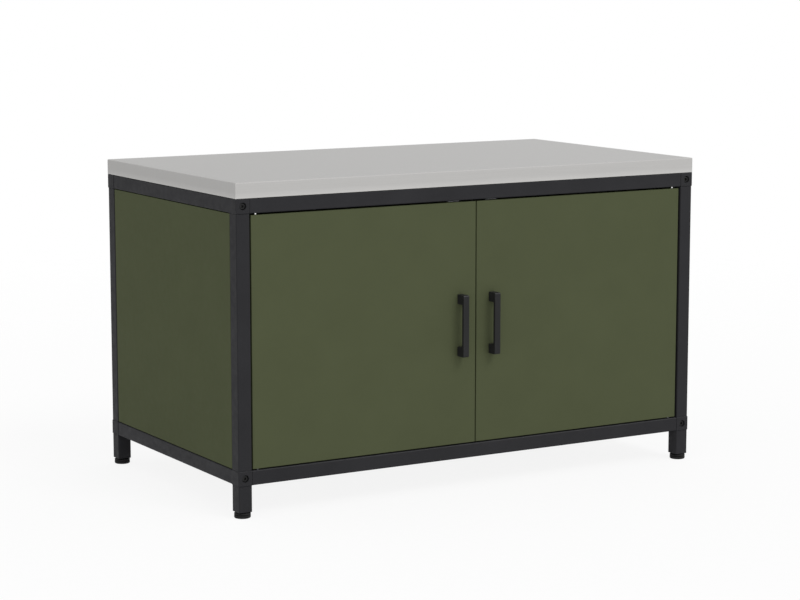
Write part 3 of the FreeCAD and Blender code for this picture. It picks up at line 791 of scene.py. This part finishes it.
places = []
for level in LEVELS:
    height = middle_of(f"rail_{level}_left").z
    for side in SIDES:
        for end, turn, sign in (("front", TO_BACK, -1), ("rear", TO_FRONT, 1)):
            low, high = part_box(f"post_{end}_{side}")
            seat = (low + high) / 2
            seat.y += sign * ((high.y - low.y) / 2 + CUBE_PROUD - BORE_DEPTH)
            seat.z = height
            places.append(Matrix.Translation(seat) @ turn)
bolts = cast(corner_bolt(), "corner_bolts", places)
hand_over(bolts, SCREW_BLACK, "cabinet", "screw_black", "corner_screws")

# %% [markdown]
# ## Levelling feet
# A foot is a round pad with a groove below its upper rim and a well-rounded sole. It could be spun from an
# outline. Here a cylinder is cut across twice, and the band between the cuts is extruded and scaled inwards,
# which makes the groove with no outline to draw; the rims are then rounded, and the top is sunk where the
# stud sits.

# %% Shape a foot pad

PAD_RADIUS = 22.5 * MM
PAD_HEIGHT = 14 * MM
PAD_SIDES = 72
GROOVE = (8.2 * MM, 10.2 * MM)
GROOVE_DEPTH = 2.6 * MM
GROOVE_RIM = 0.4 * MM
SOLE_ROUND = 3 * MM
CAP_ROUND = 1.2 * MM
SEAT_RADIUS = 7.05 * MM
SEAT_DEPTH = 7 * MM


def foot_pad():
    """One pad on the Z axis, standing on zero."""
    pad = cylinder("foot_pad", PAD_RADIUS, 0, PAD_HEIGHT, PAD_SIDES)
    cut_across(pad, *GROOVE)
    pick_faces(pad, lambda centre, normal: abs(normal.z) < ACROSS and GROOVE[0] < centre.z < GROOVE[1])
    bpy.ops.mesh.extrude_region_move()
    neck = 1 - GROOVE_DEPTH / PAD_RADIUS
    bpy.ops.transform.resize(value=(neck, neck, 1), center_override=(0, 0, 0))
    pick_sharp(pad, lambda middle, along: middle.z < NEAR)
    round_picked(SOLE_ROUND, BEND_STEPS)
    pick_sharp(pad, lambda middle, along: middle.z > PAD_HEIGHT - NEAR)
    round_picked(CAP_ROUND, SMALL_STEPS)
    pick_sharp(pad, lambda middle, along: GROOVE[0] - NEAR < middle.z < GROOVE[1] + NEAR
               and math.hypot(middle.x, middle.y) > PAD_RADIUS - GROOVE_DEPTH / 2)
    round_picked(GROOVE_RIM, RIM_STEPS)
    draw_out(pad, lambda centre, normal: normal.z > FACING and centre.z > PAD_HEIGHT - NEAR,
             PAD_RADIUS - CAP_ROUND - SEAT_RADIUS, (0, 0, -SEAT_DEPTH))
    return pad


# %% [markdown]
# Each foot moves by itself, so its pieces aren't joined with those of the other feet: a copy stands under
# each leg and rides on the body of its own foot.

# %% Set the foot pads

ENDS = ("front", "rear")


def feet_at(master, kind, finish, slot, height):
    """Sets copies of a foot's piece under the four legs, each on its own body."""
    for end in ENDS:
        for side in SIDES:
            node = f"foot_{kind}_{end}_{side}"
            middle = middle_of(node)
            middle.z = height
            copy = twin(master, f"levelling_{kind}_{end}_{side}", Matrix.Translation(middle))
            hand_over(copy, finish, node, slot, node)
    bpy.data.objects.remove(master)


feet_at(foot_pad(), "pad", FOOT_BLACK, "foot_black", 0)

# %% [markdown]
# The stud turns in the pad and screws into the leg, so it has a real thread, which shows when the foot is
# screwed out. Rings stacked on a rod would not climb. A thread is a small outline that climbs as it goes
# round, which is what the Screw modifier does: a flat square becomes the outline of one turn when its inner
# side goes and its outer side is narrowed, and the modifier winds it up.

# %% Wind a thread

STUD_RADIUS = 5 * MM
THREAD_ROOT = 4.1 * MM
THREAD_START = 9 * MM
THREAD_TURNS = 24
THREAD_STEPS = 24
THREAD_CREST = 0.2
PITCH = 1.5 * MM
MERGE = NEAR / 10


def wound_thread(name):
    """A closed length of thread on the Z axis."""
    clear_selection()
    depth = STUD_RADIUS - THREAD_ROOT
    middle = Vector(((STUD_RADIUS + THREAD_ROOT) / 2, 0, THREAD_START + PITCH / 2))
    bpy.ops.mesh.primitive_plane_add(size=PITCH, location=middle, rotation=(math.pi / 2, 0, 0))
    turns = named(name)
    pick_edges(turns, every)
    bpy.ops.transform.resize(value=(depth / PITCH, 1, 1), center_override=middle)
    pick_edges(turns, lambda centre, along: centre.x < THREAD_ROOT + depth / 4)
    bpy.ops.mesh.delete(type="EDGE")
    pick_edges(turns, lambda centre, along: centre.x > STUD_RADIUS - depth / 4)
    bpy.ops.transform.resize(value=(1, 1, THREAD_CREST), center_override=middle)
    apply_modifier(turns, "SCREW", axis="Z", angle=2 * math.pi, screw_offset=PITCH,
                   iterations=THREAD_TURNS, steps=THREAD_STEPS, render_steps=THREAD_STEPS,
                   use_merge_vertices=True, merge_threshold=MERGE)
    pick_all(turns, "EDGE")
    bpy.ops.mesh.remove_doubles(threshold=MERGE)
    bpy.ops.mesh.fill_holes(sides=0)
    turn_outwards(turns)
    return turns


# %% [markdown]
# Below its thread the stud has a round end, which sits in the pad, and a hexagon for a spanner. A stud turns
# as one piece, so the three are joined.

# %% Build and set the studs

STUD_SIDES = 48
STUD_END_ROUND = 0.8 * MM
STUD_NECK = 1 * MM
STUD_HEX = 17 * MM
STUD_HEX_AT = (7.5 * MM, 9.5 * MM)
STUD_HEX_RIM = 0.3 * MM


def foot_stud():
    """The foot end, the spanner flats and the thread of a stud, from zero up."""
    end = cylinder("stud_end", SEAT_RADIUS - NEAR / 2, 0, SEAT_DEPTH, STUD_SIDES)
    pick_sharp(end)
    round_picked(STUD_END_ROUND, RIM_STEPS)
    draw_out(end, lambda centre, normal: normal.z > FACING and centre.z > SEAT_DEPTH - NEAR,
             SEAT_RADIUS - STUD_RADIUS, (0, 0, STUD_NECK))
    flats = cylinder("stud_flats", hex_radius(STUD_HEX), *STUD_HEX_AT, HEX_SIDES)
    pick_sharp(flats)
    round_picked(STUD_HEX_RIM, RIM_STEPS)
    return weld("foot_stud", [end, flats, wound_thread("stud_thread")])


feet_at(foot_stud(), "stud", ZINC, "zinc_steel", PAD_HEIGHT - SEAT_DEPTH)

# %% [markdown]
# ## Screws
# The handles, the worktop, the cleats and the catches are held by pan-head screws. One function makes them
# in every size: a cylinder with a domed rim, a cross cut into it by two blocks, and a shank drawn out below.
# A flat disc would do from afar, but the doors open, and then the heads are seen close by.

# %% Make a pan-head screw

SCREW_SIDES = 24
DOME_SHARE = 0.6
CROSS_REACH = 0.55
CROSS_HALF = 0.13
CROSS_FLOOR = 0.45


def pan_screw(name, head_radius, head_height, shank_radius, shank_length):
    """A screw with its head above zero, its shank below, and a cross in the head."""
    screw = cylinder(name, head_radius, 0, head_height, SCREW_SIDES)
    pick_sharp(screw, lambda middle, along: middle.z > head_height - NEAR)
    round_picked(head_height * DOME_SHARE, EDGE_STEPS)
    reach, half = head_radius * CROSS_REACH, head_radius * CROSS_HALF
    bottom = head_height * CROSS_FLOOR
    for long, short in ((reach, half), (half, reach)):
        cutter = block("cutter", Vector((-long, -short, bottom)), Vector((long, short, head_height * 2)))
        carve(screw, cutter)
    draw_out(screw, lambda centre, normal: normal.z < -FACING and centre.z < NEAR,
             head_radius - shank_radius, (0, 0, -shank_length))
    return screw


# %% [markdown]
# A handle's two screws come through the door from behind, one into each foot. A screw's size is written as
# four numbers: the radius and the height of its head, and the radius and the length of its shank.

# %% Screw the handles on

HANDLE_SCREW = (4.5 * MM, 3 * MM, 2.5 * MM, 32 * MM)

for side in SIDES:
    low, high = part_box(f"handle_{side}")
    door_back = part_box(f"door_{side}")[1].y
    heights = low.z + HANDLE_FOOT / 2, high.z - HANDLE_FOOT / 2
    places = [Matrix.Translation(((low.x + high.x) / 2, door_back, height)) @ TO_BACK for height in heights]
    screws = cast(pan_screw("handle_screw", *HANDLE_SCREW), f"pull_screws_{side}", places)
    hand_over(screws, ZINC, f"{side}_door", "zinc_steel", f"handle_screws_{side}")

# %% [markdown]
# The worktop is held from below: six long screws go up through the front and rear top rails into its core.
# They are the same screw, larger and turned head down.

# %% Screw the worktop down

TOP_SCREW = (5.5 * MM, 4 * MM, 3 * MM, 62 * MM)
HEAD_DOWN = Matrix.Rotation(math.pi, 4, "X")

head = TOP_SCREW[0]
low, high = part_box("worktop_screws")
rail_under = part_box("rail_top_front")[0].z
places = []
for x in (low.x + head, 0, high.x - head):
    for y in (low.y + head, high.y - head):
        places.append(Matrix.Translation((x, y, rail_under)) @ HEAD_DOWN)
screws = cast(pan_screw("top_screw", *TOP_SCREW), "top_screws", places)
hand_over(screws, ZINC, "cabinet", "zinc_steel", "worktop_screws")

# %% [markdown]
# ## Cleats
# The panels and boards sit on small angle cleats, screwed to the frame and to the board. A cleat is a strip
# of sheet with one end folded up. It could be two plates at a right angle, but a folded sheet has one
# continuous bend, so the second leg is drawn out of the first and the bend and the free corners are rounded.

# %% Fold a cleat

CLEAT_LEG = 20 * MM
CLEAT_SHEET = 2 * MM
CLEAT_WIDTH = 18 * MM
CLEAT_BEND = 1.7 * MM
CLEAT_CORNER = 3 * MM
CLEAT_SCREW = (3.2 * MM, 2 * MM, 1.6 * MM, 6 * MM)
CLEAT_SCREW_AT = 0.58 * CLEAT_LEG


def towards(along_x, along_y, place):
    """A matrix that lays a piece's own X and Y along two directions at a place."""
    along_z = along_x.cross(along_y)
    turn = Matrix((along_x, along_y, along_z)).transposed().to_4x4()
    return Matrix.Translation(place) @ turn


def cleat():
    """An angle cleat with its corner on the Z axis and its legs along X and Y, and its two screws."""
    x, y, z = ALONG_X, ALONG_Y, ALONG_Z
    half = CLEAT_WIDTH / 2
    plate = block("cleat", Vector((0, 0, -half)), Vector((CLEAT_LEG, CLEAT_SHEET, half)))
    pick_all(plate)
    bpy.ops.mesh.bisect(plane_co=(CLEAT_SHEET, 0, 0), plane_no=(1, 0, 0))
    pick_faces(plate, lambda centre, normal: normal.y > FACING and centre.x < CLEAT_SHEET)
    bpy.ops.mesh.extrude_region_move(TRANSFORM_OT_translate={"value": (0, CLEAT_LEG - CLEAT_SHEET, 0)})
    pick_sharp(plate, lambda middle, along: abs(along.z) > FACING and max(middle.x, middle.y) < NEAR)
    round_picked(CLEAT_BEND, EDGE_STEPS)
    pick_sharp(plate, lambda middle, along: abs(along.z) < ACROSS and abs(middle.z) > half - NEAR
               and max(middle.x, middle.y) > CLEAT_LEG - NEAR and min(middle.x, middle.y) > NEAR)
    round_picked(CLEAT_CORNER, EDGE_STEPS)
    screw = pan_screw("cleat_screw", *CLEAT_SCREW)
    on_frame = twin(screw, "frame_screw", towards(y, z, x * CLEAT_SHEET + y * CLEAT_SCREW_AT))
    on_board = twin(screw, "board_screw", towards(z, x, y * CLEAT_SHEET + x * CLEAT_SCREW_AT))
    bpy.data.objects.remove(screw)
    return weld("cleat", [plate, on_frame, on_board])


# %% [markdown]
# The cleats follow the edges of the openings: four hold each side panel, eight the back panel, six carry the
# floor board and four the shelf. Each place is a point on the edge between frame and board, and two
# directions: away from the frame, and away from the board.

# %% Set the cleats

CLEAT_END = 120 * MM


def cleat_places():
    """Where each kind of cleat sits, as matrices."""
    rows = {"panel_cleats": [], "floor_cleats": [], "shelf_brackets": []}
    x, y, z = ALONG_X, ALONG_Y, ALONG_Z
    front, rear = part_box("post_front_left")[1].y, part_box("post_rear_left")[0].y
    low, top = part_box("rail_bottom_front")[1].z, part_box("rail_top_front")[0].z
    heights = low + CLEAT_END, top - CLEAT_END
    back, under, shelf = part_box("panel_back")[0].y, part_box("floor_board")[0].z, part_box("shelf")[0].z
    post_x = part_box("post_front_right")[0].x
    panel_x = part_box("panel_right")[0].x
    bracket_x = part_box("shelf_brackets")[1].x - CLEAT_WIDTH / 2
    for sign in (-1, 1):
        inward = -sign * x
        for place_y, away in ((front, y), (rear, -y)):
            for height in heights:
                rows["panel_cleats"].append(towards(away, inward, (sign * panel_x, place_y, height)))
            rows["floor_cleats"].append(towards(away, -z, (sign * post_x / 2, place_y, under)))
            rows["shelf_brackets"].append(towards(away, -z, (sign * bracket_x, place_y, shelf)))
        for height in heights:
            rows["panel_cleats"].append(towards(inward, -y, (sign * post_x, back, height)))
        for height, away in ((low, z), (top, -z)):
            rows["panel_cleats"].append(towards(away, -y, (sign * post_x / 2, back, height)))
        rows["floor_cleats"].append(towards(inward, -z, (sign * post_x, (front + rear) / 2, under)))
    return rows


for node, places in cleat_places().items():
    row = cast(cleat(), f"bent_{node}", places)
    hand_over(row, ZINC, "cabinet", "zinc_steel", node)

# %% [markdown]
# ## Magnet catches
# A catch is a moulded case under the top rail, with two steel pole plates that meet the plate on the door.
# One block could stand for it, but plastic and steel differ, so case and poles are separate pieces. The case
# is a block with rounded edges whose front is set back, so that the poles stand out of it.

# %% Shape a catch

CATCH_EDGE = 1.2 * MM
POLE_STEP = 0.8 * MM
POLE_THICK = 1.5 * MM
POLE_RIM = 0.3 * MM
POLE_LIFT = 0.4
POLE_REACH = 0.78


def catch(middle, half):
    """The case and the two poles of one catch, about its middle, from half its size."""
    case = block("catch_case", middle - half + ALONG_Y * POLE_STEP, middle + half)
    pick_edges(case, every)
    round_picked(CATCH_EDGE, SMALL_STEPS)
    poles = []
    wide = half.x * POLE_REACH
    for lift in (-half.z * POLE_LIFT, half.z * POLE_LIFT):
        start = Vector((middle.x - wide, middle.y - half.y, middle.z + lift - POLE_THICK / 2))
        pole = block("pole", start, start + Vector((2 * wide, half.y, POLE_THICK)))
        pick_edges(pole, lambda centre, along: centre.y < start.y + NEAR)
        round_picked(POLE_RIM, RIM_STEPS)
        poles.append(pole)
    return case, poles


# %% [markdown]
# Each catch hangs by two screws in wells that are carved into its underside. The catches sit where the
# plates on the doors are, so their places come from those plates.

# %% Set the catches

CATCH_SCREW = (3 * MM, 1.8 * MM, 1.6 * MM, 10 * MM)
WELL_RADIUS = 3.4 * MM
WELL_DEPTH = 2.4 * MM
WELL_APART = 0.62
WELL_BACK = 1 * MM

low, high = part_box("magnet_catches")
plate_x = middle_of("strike_plate_left").x
half = Vector((high.x + plate_x, (high.y - low.y) / 2, (high.z - low.z) / 2))
cases, poles, heads = [], [], []
for sign in (-1, 1):
    middle = Vector((-sign * plate_x, (low.y + high.y) / 2, (low.z + high.z) / 2))
    case, pair = catch(middle, half)
    for offset in (-half.x * WELL_APART, half.x * WELL_APART):
        where = Vector((middle.x + offset, middle.y + WELL_BACK, low.z))
        well = cylinder("well", WELL_RADIUS, -WELL_DEPTH, WELL_DEPTH, SCREW_SIDES)
        carve(case, twin(well, "cutter", Matrix.Translation(where)))
        bpy.data.objects.remove(well)
        heads.append(Matrix.Translation(where + ALONG_Z * WELL_DEPTH) @ HEAD_DOWN)
    cases.append(case)
    poles += pair
hand_over(weld("catch_cases", cases), PLASTIC, "cabinet", "black_plastic", "magnet_catches")
hand_over(weld("catch_poles", poles), ZINC, "cabinet", "zinc_steel")
catch_screws = cast(pan_screw("catch_screw", *CATCH_SCREW), "catch_screws", heads)
hand_over(catch_screws, ZINC, "cabinet", "zinc_steel")

# %% [markdown]
# ## Frame tubes and fittings
# The CAD model already has the tubes and legs with their rounded corners, and the core board, inserts, plugs,
# pins, bushes and strike plates, in the shape that they need. These stay as they are and only get their
# finish, by the slot that the record gives them.

# %% Dress the CAD nodes that stay

FINISHES = {
    "frame_black": FRAME_BLACK,
    "screw_black": SCREW_BLACK,
    "olive_green": OLIVE,
    "inner_board": MELAMINE,
    "core_board": CHIPBOARD,
    "stainless": STAINLESS,
    "zinc_steel": ZINC,
    "handle_black": HANDLE_BLACK,
    "foot_black": FOOT_BLACK,
    "bright_steel": BRIGHT_STEEL,
    "black_plastic": PLASTIC,
}
for part in frame["record"]["subparts"]:
    mesh = nodes[part["node"]].data
    mesh.materials.clear()
    mesh.materials.append(FINISHES[part["material_slot"]])

# %% [markdown]
# ## Floor, light and camera
# The cabinet stands on a plain white floor against white. Brighter lamps would make them white, but would
# bleach the cabinet too. So cameras and reflections see the surroundings at full white, while their light on
# the cabinet is kept at a plain level, at which a colour renders about as written.

# %% Tell who sees a surface


def combine(tree, operation, first, second):
    """Two values put together by a maths node."""
    node = tree.nodes.new("ShaderNodeMath")
    node.operation = operation
    tree.links.new(first, node.inputs[0])
    tree.links.new(second, node.inputs[1])
    return node.outputs["Value"]


def light_path(tree, *kinds):
    """1 for rays of the kinds named, and 0 for all others."""
    path = tree.nodes.new("ShaderNodeLightPath")
    total = path.outputs[kinds[0]]
    for other in kinds[1:]:
        total = combine(tree, "MAXIMUM", total, path.outputs[other])
    return total


def seen_directly(tree):
    """1 for what the camera, a mirror or glass sees, and 0 for light that falls on things."""
    return light_path(tree, "Is Camera Ray", "Is Glossy Ray", "Is Transmission Ray")


# %% [markdown]
# The floor is a wide plane of matt white paper. A mix of two shaders makes it: the paper, which takes the
# shadow of the cabinet, and a glow, which only what sees it directly gets to see.

# %% Floor

FLOOR_SIZE = 11
FLOOR_GLOW = 0.88
PAPER_GRAIN = 40
PAPER_DARK = (0.86, 0.86, 0.86)
PAPER_LIGHT = (0.9, 0.9, 0.9)
PAPER_ROUGHNESS = 0.9

clear_selection()
bpy.ops.mesh.primitive_plane_add(size=FLOOR_SIZE, location=(0, 0, 0))
floor = bpy.context.object
floor.name = "floor"
paper, tree, shader = new_finish("floor_paper")
shader.inputs["Roughness"].default_value = PAPER_ROUGHNESS
shader.inputs["Specular IOR Level"].default_value = 0.0
tree.links.new(tone(tree, grain(tree, PAPER_GRAIN), PAPER_DARK, PAPER_LIGHT), shader.inputs["Base Color"])
glow = tree.nodes.new("ShaderNodeEmission")
mix = tree.nodes.new("ShaderNodeMixShader")
tree.links.new(spread(tree, seen_directly(tree), 0.0, FLOOR_GLOW, 0.0, 1.0), mix.inputs["Fac"])
tree.links.new(shader.outputs["BSDF"], mix.inputs[1])
tree.links.new(glow.outputs["Emission"], mix.inputs[2])
print("floor:", FLOOR_SIZE, "m wide")

# %% [markdown]
# A white floor that simply ends would show its rim, so it fades out with the distance from its middle, until
# only the surroundings are left. Seen from below it is clear, so that the underside can be looked at.

# %% Fade the floor out

FLOOR_FADE = (2.4, 5.0)

place = tree.nodes.new("ShaderNodeTexCoord")
distance = tree.nodes.new("ShaderNodeVectorMath")
distance.operation = "LENGTH"
tree.links.new(place.outputs["Object"], distance.inputs[0])
clear = tree.nodes.new("ShaderNodeBsdfTransparent")
fade = tree.nodes.new("ShaderNodeMixShader")
facing = tree.nodes.new("ShaderNodeNewGeometry")
far = spread(tree, distance.outputs["Value"], 0.0, 1.0, *FLOOR_FADE)
gone = combine(tree, "MAXIMUM", far, facing.outputs["Backfacing"])
tree.links.new(gone, fade.inputs["Fac"])
tree.links.new(mix.outputs["Shader"], fade.inputs[1])
tree.links.new(clear.outputs["BSDF"], fade.inputs[2])
tree.links.new(fade.outputs["Shader"], tree.nodes["Material Output"].inputs["Surface"])
floor.data.materials.append(paper)
print("floor fades out over", FLOOR_FADE)

# %% [markdown]
# The room is white too, and a little darker behind the left side, so that the steel of the left end is not
# as light as the front. What the camera sees of it stays plain white.

# %% Surroundings

AMBIENT = 0.82
DIM_SIDE = (-0.5, 0.86, 0.0)
DIM_FROM = (0.2, 0.95)
DIM_LEVEL = 0.77

world = bpy.data.worlds.new("white_room")
bpy.context.scene.world = world
world.use_nodes = True
tree = world.node_tree
place = tree.nodes.new("ShaderNodeTexCoord")
lean = tree.nodes.new("ShaderNodeVectorMath")
lean.operation = "DOT_PRODUCT"
lean.inputs[1].default_value = DIM_SIDE
tree.links.new(place.outputs["Generated"], lean.inputs[0])
plain = spread(tree, seen_directly(tree), AMBIENT, 1.0, 0.0, 1.0)
dimming = spread(tree, lean.outputs["Value"], 1.0, DIM_LEVEL, *DIM_FROM)
dimmed = combine(tree, "MULTIPLY", plain, dimming)
white = combine(tree, "MAXIMUM", dimmed, light_path(tree, "Is Camera Ray"))
sky = tree.nodes["Background"]
sky.inputs["Color"].default_value = grey(1.0)
tree.links.new(white, sky.inputs["Strength"])
print("ambient level:", AMBIENT)

# %% [markdown]
# One soft key light comes from high on the right of the front: the handles throw their soft shadows to the
# left and down. An area lamp would fall off across the cabinet, so it is a wide sun, which falls evenly.
# Mirrors don't show it, because a bright disc in the steel would draw a hard line along every bend.

# %% Key light

KEY_FROM = Vector((0.218, -0.633, 0.743))
KEY_LEVEL = 0.90
KEY_WIDTH = math.radians(24)


def sun(name, direction, level, width):
    """A sun that shines from a direction, as wide as an angle."""
    lamp = bpy.data.lights.new(name, "SUN")
    lamp.energy = level
    lamp.angle = width
    light = bpy.data.objects.new(name, lamp)
    bpy.context.scene.collection.objects.link(light)
    light.rotation_euler = direction.to_track_quat("Z", "Y").to_euler()
    print(name, "level:", level)
    return light


key = sun("key", KEY_FROM, KEY_LEVEL, KEY_WIDTH)
key.visible_glossy = False

# %% [markdown]
# Black coats show their shape by a soft gleam where a rounded edge turns to the light, most of all on the
# upper ends of the handles. A second sun gives only that gleam: it is off for diffuse light, so it doesn't
# brighten anything else, and light linking keeps it to the coated pieces and off the bends of the steel.

# %% Gleam on the black coats

GLEAM_FROM = Vector((0.505, -0.428, 0.750))
GLEAM_LEVEL = 3.6
GLEAM_WIDTH = math.radians(20)

gleam = sun("gleam", GLEAM_FROM, GLEAM_LEVEL, GLEAM_WIDTH)
gleam.visible_diffuse = False
coated = bpy.data.collections.new("coated")
for piece in bpy.context.scene.objects:
    if piece.type == "MESH" and piece.data.materials[0] in (FRAME_BLACK, HANDLE_BLACK, FOOT_BLACK):
        coated.objects.link(piece)
gleam.light_linking.receiver_collection = coated

# %% [markdown]
# The camera stands to the left of the front, higher than the worktop, and looks slightly down. Its place and
# lens come from the vanishing lines of the cabinet's edges.

# %% Camera

CAMERA_PLACE = (-3.4631, -5.8159, 1.4917)
CAMERA_YAW = math.radians(30.687)
CAMERA_PITCH = math.radians(8.450)
CAMERA_LENS = 104.23
CAMERA_SENSOR = 36

view = bpy.data.cameras.new("camera")
view.lens = CAMERA_LENS
view.sensor_width = CAMERA_SENSOR
camera = bpy.data.objects.new("camera", view)
bpy.context.scene.collection.objects.link(camera)
camera.location = CAMERA_PLACE
camera.rotation_euler = (math.pi / 2 - CAMERA_PITCH, 0, -CAMERA_YAW)
bpy.context.scene.camera = camera
bpy.context.scene.view_settings.view_transform = "Standard"
print("camera at", CAMERA_PLACE)
